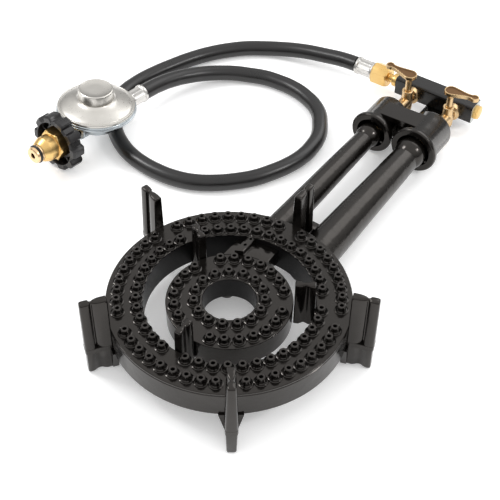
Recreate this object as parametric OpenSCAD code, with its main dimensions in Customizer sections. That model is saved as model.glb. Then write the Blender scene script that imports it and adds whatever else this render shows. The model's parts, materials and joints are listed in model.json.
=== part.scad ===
// Twin-ring gas burner with five pot-support legs, two mixing tubes with a shared air
// housing, a manifold bar with two lever cocks, and a low-pressure regulator on a hose.
// +Y runs from the rings to the manifold bar and +Z is up. The origin is on the ground, under
// the middle of the burner's bounding box, which leaves out the hose and what is on it.

/* [Rings] */
// Outside radius of the outer ring
outer_r = 97; // [94:0.5:125]
// Radius of the opening inside the outer ring
outer_bore_r = 68; // [62:0.5:70]
// Outside radius of the inner ring
inner_r = 50.5; // [48:0.5:52]
// Radius of the hole in the middle of the inner ring
inner_bore_r = 21.5; // [17:0.5:23]
// Height of both ring castings, from their floor to the outer ring's head
ring_h = 24; // [20:0.5:30]
// Distance by which the inner ring's head sits below the outer ring's
inner_drop = 4.5; // [2:0.5:8]
// Wall of the ring channels
ring_wall = 4; // [3:0.5:5]
// Thickness of the two drilled heads
head_t = 3; // [2:0.5:4]
// Clear height under the rings
ground_gap = 20; // [18:0.5:30]

/* [Nozzles] */
// Height of a nozzle boss above its head
boss_h = 6; // [4:0.5:8]
// Radius of a boss at its top
boss_top_r = 3.5; // [2.6:0.1:3.8]
// Radius of a boss at its foot
boss_foot_r = 4.6; // [3.8:0.1:4.8]
// Radius of a flame port
port_r = 1.3; // [0.8:0.1:1.6]
// Nozzle places round the outer ring's outer row, where every tenth one is left for a leg
outer_row_places = 50; // [40:10:50]
// Distance of the outer row from the outer ring's edge
outer_row_inset = 9; // [8:0.5:11]
// Distance of the next row from the outer ring's opening
second_row_inset = 5; // [5:0.5:7]
// Distance of the inner ring's outer row from its edge
third_row_inset = 7; // [6:0.5:9]
// Distance of the inner ring's inner row from its hole
fourth_row_inset = 6.5; // [6:0.5:9]

/* [Legs and fingers] */
// Height of the legs above the outer ring's head
leg_rise = 32; // [20:0.5:45]
// Radial length of a leg
leg_length = 21.5; // [16:0.5:28]
// Thickness of a leg at its ledge
leg_w = 10; // [8:0.5:14]
// Thickness of a leg at its top
leg_top_w = 7; // [5:0.5:9]
// Thickness of a leg's web between its two ribs
leg_web_w = 4; // [3:0.5:6]
// Height of the fingers above the outer ring's head
finger_rise = 20; // [12:0.5:26]
// Thickness of a finger
finger_w = 8; // [5:0.5:9]

/* [Mixing tubes] */
// Distance of each tube's axis from the middle
tube_x = 22.3; // [21:0.1:26]
// Height of the tubes' axes above the ground
tube_z = 23.3; // [23:0.1:30]
// Distance from the rings' centre to the tubes' bells
tube_end = 258; // [200:1:320]
// Outside radius of the left tube at the outer ring
left_r1 = 12.2; // [10:0.1:13]
// Outside radius of the left tube at its bell
left_r2 = 10; // [9:0.1:12]
// Outside radius of the right tube at the outer ring
right_r1 = 16.7; // [14:0.1:17]
// Outside radius of the right tube at its bell
right_r2 = 13.1; // [11:0.1:14]
// Wall of the tubes
tube_wall = 3; // [2.5:0.1:4]

/* [Air housing] */
// Outside radius of the left cup's lip
left_lip_r = 20.8; // [19:0.1:22]
// Outside radius of the right cup's lip
right_lip_r = 22.8; // [20:0.1:23]
// Length of the cups
cup_length = 42; // [38:0.5:60]
// Wall of the cups
cup_wall = 3; // [2:0.5:4]

/* [Manifold] */
// Side of the square manifold bar
bar_side = 19; // [16:0.5:22]
// Length of the manifold bar
bar_length = 84; // [76:1:110]
// Distance from the air housing's back to the bar
bar_gap = 40; // [36:0.5:50]
// Height of the bar's axis above the ground
bar_z = 20; // [19:0.5:26]
// Distance of the bar's middle to the right of the rings' centre
bar_shift = 0.5; // [0:0.1:3]
// Distance of both cocks to the right of their tubes' axes
cock_shift = 1.5; // [0:0.1:2]
// Length of a cock's lever, from its stem to the middle of its tip
lever_length = 23; // [18:0.5:32]
// Height of the cocks' levers above the bar's axis
lever_lift = 28.5; // [26:0.5:36]
// Radius of a cock's stem
stem_r = 3.2; // [2.6:0.1:3.6]
// Radius of the tapered plug inside a cock
plug_r = 4.5; // [4:0.1:5]

/* [Regulator] */
// Radius of the regulator's crimped flange
flange_r = 37.6; // [34:0.1:42]
// Radius of the regulator's cap
cap_r = 16.6; // [14:0.1:19]
// Height of the cap
cap_h = 9.8; // [7:0.1:14]
// Height of the inlet axis above the ground, at the middle of the regulator
inlet_z = 24.6; // [24.6:0.1:28]
// Outside radius of the cylinder connection's handwheel
wheel_r = 27.4; // [24:0.1:27.4]
// Across-flats size of the cylinder connection's hexagon
pol_hex = 26.5; // [24:0.5:27]

/* [Hose] */
// Outside diameter of the hose
hose_d = 15.5; // [12:0.5:16]

/* [Hidden] */
$fn = 48;
tiny = 0.01;
gap = 0.3;              // clearance between bodies that move past each other
running = 0.05;         // radial clearance of a running fit

// Heights of the rings
top_z = ground_gap + ring_h;
inner_top_z = top_z - inner_drop;

// Directions, as angles from +X
leg_angles = [for (i = [0:4]) 90 + 72 * i];
finger_angles = [-90, 150, 30];
leg_inner_r = outer_r - 0.6;
leg_outer_r = leg_inner_r + leg_length;
ledge_z = ground_gap + 2.5;

// Places along Y, from the rings' centre
housing_front = tube_end + 4;
housing_back = housing_front + cup_length;
bar_front = housing_back + bar_gap;
bar_back = bar_front + bar_side;
cock_y = bar_front - 14;
front_end = leg_outer_r * sin(54) + leg_w / 2 * cos(54);
ring_y = -(bar_back - front_end) / 2;

// Places across the manifold
left_cock_x = cock_shift - tube_x;
right_cock_x = cock_shift + tube_x;
bar_left = bar_shift - bar_length / 2;
bar_right = bar_shift + bar_length / 2;
lever_z = bar_z + lever_lift;
left_lever_angle = 173.5;
right_lever_angle = 7;

// The hose's fittings at the manifold, running left from the bar
nipple_len = 11.5;
nut_len = 17.5;
nut_flats = 20;
ferrule_len = 19.5;
ferrule_r = 8.8;
hose_bore_r = 4;
nut_right = bar_left - nipple_len;
nut_left = nut_right - nut_len;
hose_start = nut_left - ferrule_len;

// The regulator: middle of its body, and the direction from its inlet to its outlet
reg_x = -244.3;
reg_y = -4.3;
reg_angle = 84.5;
reg_tilt = 4;            // the handwheel holds the inlet up, and the outlet sinks
rim_z = inlet_z + 17.8;
outlet_reach = 40;       // from the regulator's middle to the outlet's shoulder
nose_reach = 80.6;       // from the regulator's middle to the nose's tip
wheel_back = 41.2;       // from the regulator's middle to the handwheel's back

// Points of the hose's route from the manifold to the regulator, in the part's own frame
hose_lift = hose_d / 2;
hose_route = [[-91, 221.5, 20], [-108, 222, 18.5], [-127, 221, 16], [-154, 218, 12.5], [-176, 212, 9.5],
    [-194, 204, hose_lift], [-208, 194, hose_lift], [-220, 182, hose_lift], [-233, 165, hose_lift],
    [-244, 145, hose_lift], [-252, 125, hose_lift], [-259, 104, hose_lift], [-264, 80, hose_lift],
    [-264, 56, hose_lift], [-256, 34, hose_lift], [-244, 18, hose_lift], [-231, 6, hose_lift],
    [-216, -4, hose_lift], [-200, -11, hose_lift], [-182, -15, hose_lift], [-164, -16, hose_lift],
    [-145, -14, hose_lift], [-127, -8, hose_lift], [-110, 3, hose_lift], [-97, 15, hose_lift],
    [-86, 28, hose_lift], [-77, 44, hose_lift], [-70, 61, hose_lift], [-66, 79, hose_lift],
    [-66, 97, hose_lift], [-69, 113, hose_lift], [-77, 129, hose_lift], [-91, 147, hose_lift],
    [-112, 159, hose_lift], [-132, 164, hose_lift], [-150, 164, hose_lift], [-164.5, 162, hose_lift],
    [-178, 156.7, 8], [-191, 150, 8.8], [-203, 140, 10.2], [-214, 127.3, 12.2], [-223, 112.4, 14.6],
    [-230, 96.4, 17], [-235, 79, 18.8], [-238.2, 58.4, 20.2]];
hose_sides = 12;

// ---------------------------------------------------------------- helpers

module at_rings() {
    translate([0, ring_y, 0]) children();
}

// Round bar along Y, from y1 to y2
module along_y(x, y1, y2, z, r1, r2) {
    translate([x, y1, z]) rotate([-90, 0, 0]) cylinder(h = y2 - y1, r1 = r1, r2 = r2);
}

// Round bar along X, from x1 to x2
module along_x(x1, x2, y, z, r) {
    translate([x1, y, z]) rotate([0, 90, 0]) cylinder(h = x2 - x1, r = r);
}

// Flat ring with a round hole
module washer(r_out, r_in, z1, z2) {
    difference() {
        translate([0, 0, z1]) cylinder(h = z2 - z1, r = r_out, $fn = 96);
        translate([0, 0, z1 - 1]) cylinder(h = z2 - z1 + 2, r = r_in, $fn = 96);
    }
}

// Angles of a row's nozzles, leaving out each skip-th place; skip = 0 leaves none out
function row_angles(places, first, skip) =
    [for (i = [0:places - 1]) if (skip == 0 || i % skip != 0) first + 360 / places * i];

module bosses(row_r, angles, z) {
    for (a = angles)
        rotate([0, 0, a]) translate([row_r, 0, z]) {
            cylinder(h = boss_h, r1 = boss_foot_r, r2 = boss_top_r, $fn = 24);
        }
}

module ports(row_r, angles, z) {
    for (a = angles)
        rotate([0, 0, a]) translate([row_r, 0, z]) {
            cylinder(h = boss_h + head_t + 2, r = port_r, $fn = 16);
        }
}

outer_row_r = outer_r - outer_row_inset;
second_row_r = outer_bore_r + second_row_inset;
third_row_r = inner_r - third_row_inset;
fourth_row_r = inner_bore_r + fourth_row_inset;
outer_row = row_angles(outer_row_places, 90, 10);
second_row = row_angles(42, -90, 14);
third_row = row_angles(24, -90, 8);
fourth_row = row_angles(15, 102, 0);

// ---------------------------------------------------------------- rings

module channel(r_out, r_in, z_top) {
    difference() {
        translate([0, 0, ground_gap]) cylinder(h = z_top - ground_gap, r = r_out, $fn = 120);
        translate([0, 0, ground_gap - 1]) cylinder(h = ring_h + 2, r = r_in, $fn = 120);
        difference() {
            translate([0, 0, ground_gap + ring_wall]) cylinder(h = ring_h, r = r_out - ring_wall, $fn = 120);
            translate([0, 0, ground_gap]) cylinder(h = ring_h, r = r_in + ring_wall, $fn = 120);
        }
    }
}

// Space that the left tube and the bridge take out of both rings
module left_passage() {
    along_y(-tube_x, inner_bore_r + ring_wall + 3, tube_end, tube_z, left_r1 + tiny, left_r1 + tiny);
}

module outer_ring_trough() {
    color("#2b2927") at_rings() difference() {
        channel(outer_r, outer_bore_r, top_z - head_t);
        left_passage();
        along_y(tube_x, outer_bore_r + ring_wall, tube_end, tube_z, right_r1, right_r1);
    }
}

module outer_ring_head() {
    color("#45423d") at_rings() difference() {
        union() {
            washer(outer_r, outer_bore_r, top_z - head_t, top_z);
            bosses(outer_row_r, outer_row, top_z - tiny);
            bosses(second_row_r, second_row, top_z - tiny);
        }
        ports(outer_row_r, outer_row, top_z - head_t - 1);
        ports(second_row_r, second_row, top_z - head_t - 1);
    }
}

module inner_ring_trough() {
    color("#2b2927") at_rings() difference() {
        channel(inner_r, inner_bore_r, inner_top_z - head_t);
        left_passage();
    }
}

module inner_ring_head() {
    color("#45423d") at_rings() difference() {
        union() {
            washer(inner_r, inner_bore_r, inner_top_z - head_t, inner_top_z);
            bosses(third_row_r, third_row, inner_top_z - tiny);
            bosses(fourth_row_r, fourth_row, inner_top_z - tiny);
        }
        ports(third_row_r, third_row, inner_top_z - head_t - 1);
        ports(fourth_row_r, fourth_row, inner_top_z - head_t - 1);
    }
}

// Deck over the left tube between the rings, with the raised rib of two cross-lighting ports
bridge_left = -33;
bridge_right = 1.5;
rib_w = 6.5;
bridge_ports = [inner_r + 3.5, outer_bore_r - 6];

module gas_bridge() {
    color("#45423d") at_rings() difference() {
        union() {
            translate([bridge_left, 0, ground_gap + 6])
                cube([bridge_right - bridge_left, outer_bore_r, inner_top_z - ground_gap - 6]);
            translate([-tube_x - rib_w / 2, 0, inner_top_z - 1])
                cube([rib_w, outer_bore_r, inner_drop + 1]);
        }
        translate([0, 0, ground_gap]) cylinder(h = ring_h + 10, r = inner_r, $fn = 120);
        difference() {
            translate([0, 0, ground_gap - 1]) cylinder(h = ring_h + 10, r = outer_r + 20);
            translate([0, 0, ground_gap - 2]) cylinder(h = ring_h + 12, r = outer_bore_r, $fn = 120);
        }
        left_passage();
        for (y = bridge_ports)
            translate([-tube_x, y, ground_gap]) cylinder(h = ring_h + 10, r = port_r, $fn = 16);
    }
}

// ---------------------------------------------------------------- legs and fingers

// Outline of a waisted blade, seen from above, pointing along +X
module waisted(length, w, web) {
    lobe = w / 2;
    hull() {
        translate([lobe, 0]) circle(r = lobe, $fn = 32);
        translate([lobe + 1, 0]) circle(r = web / 2, $fn = 32);
    }
    translate([lobe, -web / 2]) square([length - w, web]);
    hull() {
        translate([length - lobe, 0]) circle(r = lobe, $fn = 32);
        translate([length - lobe - 1, 0]) circle(r = web / 2, $fn = 32);
    }
}

// Waisted blade that stands from z1 to z2 and whose thickness changes evenly from w to top_w
module tapered_blade(length, w, top_w, web, z1, z2) {
    intersection() {
        translate([0, 0, z1]) linear_extrude(height = z2 - z1) waisted(length, max(w, top_w), web);
        translate([-1, 0, 0]) rotate([90, 0, 90]) linear_extrude(height = length + 2)
            polygon([[-w / 2, z1], [w / 2, z1], [top_w / 2, z2], [-top_w / 2, z2]]);
    }
}

module leg_blade() {
    translate([leg_inner_r, 0, 0])
        tapered_blade(leg_length, leg_w, leg_top_w, leg_web_w, ledge_z, top_z + leg_rise);
}

module leg_foot() {
    foot_top_w = leg_w - 0.8;
    translate([leg_inner_r + 0.3, 0, 0])
        tapered_blade(leg_length - 1.2, leg_w * 0.78, foot_top_w, leg_web_w, 0, ledge_z + tiny);
}

// Solid band round the blade's lower end, where its groove stops
module leg_collar() {
    translate([leg_inner_r, 0, ledge_z]) linear_extrude(height = 4.5) {
        waisted(leg_length, leg_w, leg_web_w);
        translate([leg_w / 2, -leg_w / 2]) square([leg_length - leg_w, leg_w]);
    }
}

module leg_gusset() {
    gusset_t = 5;
    translate([outer_r - 4, 0, 0])
        hull() {
            translate([0, -leg_w * 0.45, 3]) cube([gusset_t, leg_w * 0.9, 1]);
            translate([0, -leg_w, ground_gap - 1]) cube([gusset_t, leg_w * 2, 1 - tiny]);
        }
}

module leg(i) {
    color("#34312e") at_rings() rotate([0, 0, leg_angles[i]]) {
        difference() {
            union() {
                leg_blade();
                leg_collar();
                leg_foot();
            }
            rotate([0, 0, -leg_angles[i]]) translate([0, 0, ground_gap])
                cylinder(h = ring_h, r = outer_r, $fn = 120);
        }
        if (i > 0) leg_gusset();
    }
}

module finger(i) {
    reach = outer_bore_r - inner_r;
    blade = reach - 0.8;
    color("#34312e") at_rings() rotate([0, 0, finger_angles[i]])
        translate([inner_r + 0.4, 0, 0])
            tapered_blade(blade, finger_w, finger_w - 2, 3.5, ground_gap, top_z + finger_rise);
}

module leg_back() { leg(0); }
module leg_left() { leg(1); }
module leg_front_left() { leg(2); }
module leg_front_right() { leg(3); }
module leg_right() { leg(4); }
module finger_front() { finger(0); }
module finger_left() { finger(1); }
module finger_right() { finger(2); }

// ---------------------------------------------------------------- mixing tubes

bell_len = 10;
bell_extra = 1.6;

module mixing_tube(x, y_start, r1, r2) {
    bell_r = r2 + bell_extra;
    difference() {
        union() {
            along_y(x, y_start, outer_r, tube_z, r1, r1);
            along_y(x, outer_r, tube_end, tube_z, r1, r2);
            translate([x, tube_end, tube_z]) sphere(r = bell_r, $fn = 64);
            along_y(x, tube_end, tube_end + bell_len, tube_z, bell_r, bell_r);
        }
        along_y(x, y_start + tube_wall, outer_r, tube_z, r1 - tube_wall, r1 - tube_wall);
        along_y(x, outer_r - tiny, tube_end + tiny, tube_z, r1 - tube_wall, r2 - tube_wall);
        along_y(x, tube_end, tube_end + 2 * bell_len, tube_z, r2 - tube_wall, r2 + bell_extra - 1);
    }
}

// The left tube passes under the outer ring and opens upwards into the inner ring's channel
module mixing_tube_left() {
    start = inner_bore_r + ring_wall + 3;
    slot = inner_r - ring_wall - start - tube_wall;
    color("#403d39") at_rings() difference() {
        mixing_tube(-tube_x, start, left_r1, left_r2);
        translate([-tube_x - 6, start + tube_wall, tube_z]) cube([12, slot, 30]);
    }
}

// The right tube opens into the outer ring's channel through the channel's wall
module mixing_tube_right() {
    color("#403d39") at_rings() difference() {
        mixing_tube(tube_x, outer_bore_r + ring_wall, right_r1, right_r2);
        translate([0, 0, top_z - head_t]) cylinder(h = 20, r = outer_r + 1, $fn = 120);
        translate([tube_x - 8, outer_bore_r + ring_wall + tube_wall, tube_z]) cube([16, 16, 30]);
    }
}

// Radius of a tube at the distance y from the rings' centre
function tube_r(y, r1, r2) = r1 + (r2 - r1) * (y - outer_r) / (tube_end - outer_r);

module tube_web() {
    web_start = leg_outer_r + tiny;
    web_end = outer_r + 30;
    web_t = 5;
    color("#34312e") at_rings() translate([0, 0, tube_z - web_t / 2]) linear_extrude(height = web_t)
        polygon([[tube_r(web_start, left_r1, left_r2) - tube_x, web_start],
            [tube_x - tube_r(web_start, right_r1, right_r2), web_start],
            [tube_x - tube_r(web_end, right_r1, right_r2), web_end],
            [tube_r(web_end, left_r1, left_r2) - tube_x, web_end]]);
}

// ---------------------------------------------------------------- air housing

lip_len = 5;
lip_t = 3.4;
back_t = 3.5;
nozzle_r = 5;
left_cup_r = left_lip_r - lip_t;
right_cup_r = right_lip_r - lip_t;

module cup_outside(x, cup_r, lip_r) {
    along_y(x, housing_front, housing_front + lip_len, tube_z, lip_r, lip_r);
    along_y(x, housing_front, housing_back, tube_z, cup_r, cup_r);
}

module cup_inside(x, cup_r) {
    along_y(x, housing_front - 1, housing_back - back_t, tube_z, cup_r - cup_wall, cup_r - cup_wall);
}

module cup_ribs(x, cup_r, bell_r) {
    rib_end = bell_len - 5;
    difference() {
        for (a = [90, 210, 330])
            translate([x, housing_front + 1, tube_z]) rotate([0, -a, 0])
                translate([bell_r - 2, 0, -1.25]) cube([cup_r - cup_wall - bell_r + 2.5, rib_end, 2.5]);
        along_y(x, housing_front, housing_front + bell_len, tube_z, bell_r, bell_r);
    }
}

module air_housing() {
    web_front = 11;
    web_back = 32;
    web_t = 6;
    color("#3a3733") at_rings() difference() {
        union() {
            difference() {
                union() {
                    cup_outside(-tube_x, left_cup_r, left_lip_r);
                    cup_outside(tube_x, right_cup_r, right_lip_r);
                    translate([-tube_x, housing_front + web_front, tube_z + left_cup_r - web_t])
                        cube([2 * tube_x, web_back - web_front, web_t]);
                }
                cup_inside(-tube_x, left_cup_r);
                cup_inside(tube_x, right_cup_r);
            }
            cup_ribs(-tube_x, left_cup_r, left_r2 + bell_extra);
            cup_ribs(tube_x, right_cup_r, right_r2 + bell_extra);
        }
        for (x = [left_cock_x, right_cock_x])
            along_y(x, housing_back - back_t - 1, housing_back + 1, bar_z, nozzle_r + gap, nozzle_r + gap);
    }
}

// ---------------------------------------------------------------- manifold

bar_chamfer = 2.5;
gas_r = 4;
stub_r = 5;
stub_len = 5;

module bar_section() {
    h = bar_side / 2;
    c = bar_chamfer;
    polygon([[-h + c, -h], [h - c, -h], [h, -h + c], [h, h - c], [h - c, h], [-h + c, h], [-h, h - c], [-h, -h + c]]);
}

module manifold_bar() {
    bar_y = (bar_front + bar_back) / 2;
    color("#242423") at_rings() difference() {
        translate([bar_left, bar_y, bar_z]) rotate([90, 0, 90]) linear_extrude(height = bar_length)
            bar_section();
        along_x(bar_left + 8, bar_right - 8, bar_y, bar_z, gas_r);
        along_x(bar_left - 1, bar_left + 8.5, bar_y, bar_z, stub_r);
        along_x(bar_right - 8.5, bar_right + 1, bar_y, bar_z, stub_r);
        for (x = [left_cock_x, right_cock_x]) {
            along_y(x, bar_front - 1, bar_front + stub_len, bar_z, stub_r, stub_r);
            along_y(x, bar_front, bar_y, bar_z, 3, 3);
        }
        for (x = bracket_holes)
            translate([x, bar_y, bar_z - bar_side]) cylinder(h = bar_side - gas_r - 1.5, r = 2);
    }
}

module bar_end_plug() {
    bar_y = (bar_front + bar_back) / 2;
    color("#d9a441") at_rings() {
        along_x(bar_right - 7, bar_right + tiny, bar_y, bar_z, stub_r);
        translate([bar_right, bar_y, bar_z]) rotate([0, 90, 0])
            cylinder(h = 5, r = 13 / sqrt(3), $fn = 6);
    }
}

// Strap under the bar that carries it on the air housing's back
bracket_holes = [0, 12];
strap_t = 3;
strap_left = -6;
strap_right = 18;

module manifold_bracket() {
    bar_y = (bar_front + bar_back) / 2;
    strap_z = bar_z - bar_side / 2 - strap_t;
    color("#1f1e1d") at_rings() difference() {
        union() {
            translate([strap_left, housing_back, strap_z])
                cube([strap_right - strap_left, bar_back - housing_back - 3, strap_t]);
            translate([strap_left + 10, housing_back, strap_z]) cube([11, 4, 14]);
        }
        for (x = bracket_holes)
            translate([x, bar_y, strap_z - 1]) cylinder(h = strap_t + 2, r = 2.1);
    }
}

module bracket_screws() {
    bar_y = (bar_front + bar_back) / 2;
    strap_z = bar_z - bar_side / 2 - strap_t;
    color("#8d8f90") at_rings() for (x = bracket_holes) {
        translate([x, bar_y, strap_z - 2.5]) cylinder(h = 2.5, r = 3.6);
        translate([x, bar_y, strap_z - tiny]) cylinder(h = strap_t + 3.5, r = 2);
    }
}

module inlet_nipple() {
    bar_y = (bar_front + bar_back) / 2;
    color("#d9a441") at_rings() difference() {
        union() {
            along_x(nut_right - 8, bar_left + 7, bar_y, bar_z, stub_r);
            along_x(nut_right + 5, bar_left, bar_y, bar_z, 6.6);
        }
        along_x(nut_right - 9, bar_left + 8, bar_y, bar_z, 2.5);
    }
}

// ---------------------------------------------------------------- cocks

plug_z1 = bar_z - 9;
plug_z2 = bar_z + 12;
barrel_r = 6.5;

module cock_body(x) {
    color("#c99a45") at_rings() difference() {
        union() {
            along_y(x, housing_back - back_t - 4, housing_back + 9, bar_z, nozzle_r, nozzle_r);
            along_y(x, housing_back + 3, bar_front - 7, bar_z, barrel_r, barrel_r);
            translate([x, bar_front - 7, bar_z]) rotate([-90, 0, 0]) cylinder(h = 7, r = 9, $fn = 6);
            along_y(x, bar_front - 1, bar_front + stub_len, bar_z, stub_r, stub_r);
            translate([x, cock_y, plug_z1]) cylinder(h = plug_z2 + 1 - plug_z1, r = barrel_r);
        }
        along_y(x, housing_back - back_t - 5, bar_front + stub_len + 1, bar_z, 2, 2);
        along_y(x, housing_back - back_t - 5, housing_back + 2, bar_z, 3, 3);
        translate([x, cock_y, plug_z1 - 1]) cylinder(h = 40, r = plug_r + running);
    }
}

module jet(x) {
    color("#d9a441") at_rings() difference() {
        union() {
            along_y(x, housing_back - back_t - 4, housing_back + 2, bar_z, 3, 3);
            along_y(x, housing_back - back_t - 9, housing_back - back_t - 4, bar_z, 4, 4);
        }
        along_y(x, housing_back - back_t - 10, housing_back + 3, bar_z, 0.5, 0.5);
    }
}

tail_r = 2;
spring_t = 2.2;
plug_nut_t = 3.5;

module cock_plug(x) {
    color("#b98d45") at_rings() difference() {
        union() {
            translate([x, cock_y, plug_z1]) cylinder(h = plug_z2 - plug_z1, r = plug_r);
            translate([x, cock_y, plug_z2 - tiny]) cylinder(h = lever_z - plug_z2 + 1, r = stem_r);
            translate([x, cock_y, plug_z1 - spring_t - plug_nut_t - 1])
                cylinder(h = spring_t + plug_nut_t + 2, r = tail_r);
        }
        translate([x - 10, cock_y, bar_z]) rotate([0, 90, 0]) cylinder(h = 20, r = 2);
    }
}

// The spring washer between a cock's body and the nut that keeps its plug seated
module plug_spring(x) {
    color("#9a9c9e") at_rings() translate([x, cock_y, 0])
        washer(5, tail_r, plug_z1 - spring_t, plug_z1 - gap);
}

module plug_nut(x) {
    color("#c99a45") at_rings() difference() {
        translate([x, cock_y, plug_z1 - spring_t - plug_nut_t]) cylinder(h = plug_nut_t, r = 4.6, $fn = 6);
        translate([x, cock_y, plug_z1 - spring_t - plug_nut_t - 1]) cylinder(h = 10, r = tail_r);
    }
}

lever_t = 3.4;
hub_r = 6.8;
tip_r = 4.2;
neck_r = 2.8;

module lever_outline(inset) {
    hull() {
        circle(r = hub_r - inset, $fn = 32);
        translate([lever_length * 0.7, 0]) circle(r = neck_r - inset, $fn = 32);
    }
    translate([lever_length, 0]) circle(r = tip_r - inset, $fn = 32);
    translate([lever_length * 0.7, -neck_r + inset]) square([lever_length * 0.3, 2 * (neck_r - inset)]);
}

module lever(x, angle) {
    color("#b98d45") at_rings() translate([x, cock_y, 0]) rotate([0, 0, angle]) difference() {
        union() {
            translate([0, 0, lever_z]) linear_extrude(height = lever_t) lever_outline(0);
            translate([0, 0, lever_z - 3]) cylinder(h = 3 + tiny, r = 4.6);
        }
        translate([0, 0, lever_z + lever_t - 1]) linear_extrude(height = 2) lever_outline(1.1);
        translate([0, 0, lever_z - 4]) cylinder(h = 5, r = stem_r);
    }
}

module cock_body_left() { cock_body(left_cock_x); }
module cock_body_right() { cock_body(right_cock_x); }
module jet_left() { jet(left_cock_x); }
module jet_right() { jet(right_cock_x); }
module plug_left() { cock_plug(left_cock_x); }
module plug_right() { cock_plug(right_cock_x); }
module plug_spring_left() { plug_spring(left_cock_x); }
module plug_spring_right() { plug_spring(right_cock_x); }
module plug_nut_left() { plug_nut(left_cock_x); }
module plug_nut_right() { plug_nut(right_cock_x); }
module lever_left() { lever(left_cock_x, left_lever_angle); }
module lever_right() { lever(right_cock_x, right_lever_angle); }

// ---------------------------------------------------------------- hose fittings at the manifold

module hose_nut() {
    bar_y = (bar_front + bar_back) / 2;
    color("#e3b14e") at_rings() difference() {
        translate([nut_left, bar_y, bar_z]) rotate([0, 90, 0]) cylinder(h = nut_len, r = nut_flats / sqrt(3), $fn = 6);
        along_x(nut_right - 9, nut_right + 1, bar_y, bar_z, stub_r + running);
        along_x(nut_left - 1, nut_right, bar_y, bar_z, gas_r + running);
    }
}

module hose_tail() {
    bar_y = (bar_front + bar_back) / 2;
    color("#d9a441") at_rings() difference() {
        along_x(hose_start, nut_right - 9, bar_y, bar_z, gas_r);
        along_x(hose_start - 1, nut_right, bar_y, bar_z, 2.5);
    }
}

module ferrule_manifold() {
    bar_y = (bar_front + bar_back) / 2;
    color("#dedcd8") at_rings() difference() {
        along_x(hose_start, nut_left - tiny, bar_y, bar_z, ferrule_r);
        along_x(hose_start - 1, nut_left + 1, bar_y, bar_z, gas_r);
    }
}

// ---------------------------------------------------------------- hose

// Point of the route's smooth curve between points i and i + 1, at the share t
function route_point(p, i, t) =
    let (a = p[max(i - 1, 0)], b = p[i], c = p[i + 1], d = p[min(i + 2, len(p) - 1)])
    0.5 * ((2 * b) + (c - a) * t + (2 * a - 5 * b + 4 * c - d) * t * t + (3 * b - a - 3 * c + d) * t * t * t);

function unit(v) = v / norm(v);

// One ring of the hose about the point c, square to the direction dir
function hose_ring(c, dir, r) =
    let (side = unit(cross(dir, [0, 0, 1])), up = cross(side, dir))
    [for (k = [0:hose_sides - 1]) c + r * (side * cos(360 / hose_sides * k) + up * sin(360 / hose_sides * k))];

module swept_hose(p, r) {
    n = len(p);
    rings = [for (i = [0:n - 1])
        let (before = route_point(p, max(i - 1, 0), i == 0 ? 0 : 0.9),
            after = i == n - 1 ? p[i] : route_point(p, i, 0.1))
        hose_ring(p[i], i == 0 ? [-1, 0, 0] : unit(after - before), r)];
    points = [for (ring = rings) each ring];
    sides = [for (i = [0:n - 2], k = [0:hose_sides - 1])
        let (a = i * hose_sides + k, b = i * hose_sides + (k + 1) % hose_sides)
        [a, b, b + hose_sides, a + hose_sides]];
    first = [for (k = [hose_sides - 1:-1:0]) k];
    last = [for (k = [0:hose_sides - 1]) (n - 1) * hose_sides + k];
    polyhedron(points = points, faces = concat(sides, [first], [last]));
}

module gas_hose() {
    color("#2c2b2a") swept_hose(hose_route, hose_d / 2);
}

// ---------------------------------------------------------------- regulator

module at_regulator() {
    translate([reg_x, reg_y, inlet_z]) rotate([0, reg_tilt, reg_angle])
        translate([0, 0, -inlet_z]) children();
}

// Bar along the regulator's inlet axis, from u1 to u2, where u grows towards the outlet
module along_inlet(u1, u2, r1, r2) {
    translate([u1, 0, inlet_z]) rotate([0, 90, 0]) cylinder(h = u2 - u1, r1 = r1, r2 = r2);
}

shell_t = 2;
flange_z = rim_z - 7;
ferrule_start = outlet_reach + 6;
bowl_r = 24;
bowl_z = hose_d + 3;
chamber_r = flange_r - 5;
cap_base_r = cap_r + 1;
dome_top = rim_z + 6.5;
throat_r = 6;
boss_r = 9.5;

// The rocker's pin, below the inlet's axis
pin_u = -12;
pin_z = inlet_z - 2;
pin_r = 0.8;
orifice_u = -17;
neck_u = -26;

module regulator_body() {
    color("#b9bec2") at_regulator() difference() {
        union() {
            difference() {
                union() {
                    translate([0, 0, flange_z]) cylinder(h = 3.5, r = flange_r, $fn = 96);
                    translate([0, 0, flange_z - 8]) cylinder(h = 8 + tiny, r1 = bowl_r, r2 = flange_r - 3, $fn = 96);
                    translate([0, 0, bowl_z]) cylinder(h = flange_z - bowl_z - 6, r = bowl_r - 4, $fn = 96);
                    along_inlet(neck_u, 0, boss_r, boss_r);
                    along_inlet(0, outlet_reach, boss_r - 2.3, boss_r - 2.3);
                }
                translate([0, 0, flange_z - 6]) cylinder(h = 20, r1 = bowl_r - 3, r2 = chamber_r + 4, $fn = 96);
                translate([0, 0, bowl_z + 3]) cylinder(h = 20, r = bowl_r - 7, $fn = 96);
            }
            for (v = [-6, 3])
                translate([pin_u - 2, v, bowl_z + 2]) cube([4, 3, pin_z - bowl_z]);
        }
        along_inlet(neck_u - 1, -10, throat_r, throat_r);
        along_inlet(10, outlet_reach + 1, gas_r, gas_r);
        translate([pin_u, -7, pin_z]) rotate([-90, 0, 0]) cylinder(h = 14, r = pin_r, $fn = 24);
    }
}

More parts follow.
